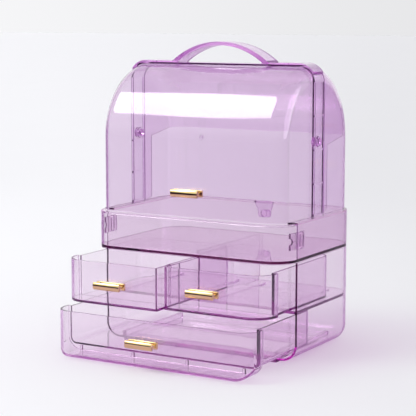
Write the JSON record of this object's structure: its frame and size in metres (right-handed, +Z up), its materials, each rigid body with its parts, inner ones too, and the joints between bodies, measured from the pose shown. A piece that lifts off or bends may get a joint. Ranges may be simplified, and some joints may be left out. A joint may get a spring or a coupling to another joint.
{
  "type": "countertop make-up organizer",
  "caption": "Transparent organizer with a drum-shaped lid over a tray, two small drawers side by side above a wide drawer, bar pulls and an arched carry handle.",
  "frame": {"origin": "on the table under the middle of the closed organizer's plan, in the lower face of the base plate", "axes": "+Z up, -Y towards the user, +X to the user's right; the drawers pull out along -Y and the lid turns about X"},
  "size_m": [0.26, 0.2745, 0.3614],
  "materials": {
    "clear_lilac_plastic": "clear lilac-tinted moulded plastic, glossy",
    "deep_lilac_plastic": "clear lilac-tinted moulded plastic, glossy, deeper where it is thick",
    "gold_metal": "polished gold-coloured metal"
  },
  "bodies": {
    "organizer": {"base_plate": "deep_lilac_plastic", "cabinet_shell": "clear_lilac_plastic", "floor_rails": "deep_lilac_plastic", "middle_shelf": "deep_lilac_plastic", "shelf_rails": "deep_lilac_plastic", "centre_divider": "deep_lilac_plastic", "tray_base": "clear_lilac_plastic", "front_guard": "clear_lilac_plastic", "guard_snaps": "deep_lilac_plastic", "rear_hood": "clear_lilac_plastic", "rear_clip": "deep_lilac_plastic", "carry_frame": "deep_lilac_plastic", "carry_handle": "deep_lilac_plastic", "pivot_pins": "deep_lilac_plastic", "pin_caps": "deep_lilac_plastic"},
    "lid": {"lid_dome": "clear_lilac_plastic", "lid_pull": "gold_metal"},
    "left_drawer": {"left_drawer_box": "clear_lilac_plastic", "left_drawer_front": "clear_lilac_plastic", "left_drawer_pull": "gold_metal"},
    "right_drawer": {"right_drawer_box": "clear_lilac_plastic", "right_drawer_front": "clear_lilac_plastic", "right_drawer_pull": "gold_metal"},
    "large_drawer": {"large_drawer_box": "clear_lilac_plastic", "large_drawer_front": "clear_lilac_plastic", "large_drawer_pull": "gold_metal"}
  },
  "joints": [
    {"name": "lid_hinge", "type": "hinge", "parent": "organizer", "child": "lid", "pos_m": [0, 0.0006, 0.2487], "axis": [-1, 0, 0], "range_deg": [0, 84]},
    {"name": "left_slide", "type": "slide", "parent": "organizer", "child": "left_drawer", "axis": [0, -1, 0], "range_m": [-0.0585, 0.053]},
    {"name": "right_slide", "type": "slide", "parent": "organizer", "child": "right_drawer", "axis": [0, -1, 0], "range_m": [-0.045, 0.0665]},
    {"name": "large_slide", "type": "slide", "parent": "organizer", "child": "large_drawer", "axis": [0, -1, 0], "range_m": [-0.0785, 0.019]}
  ]
}
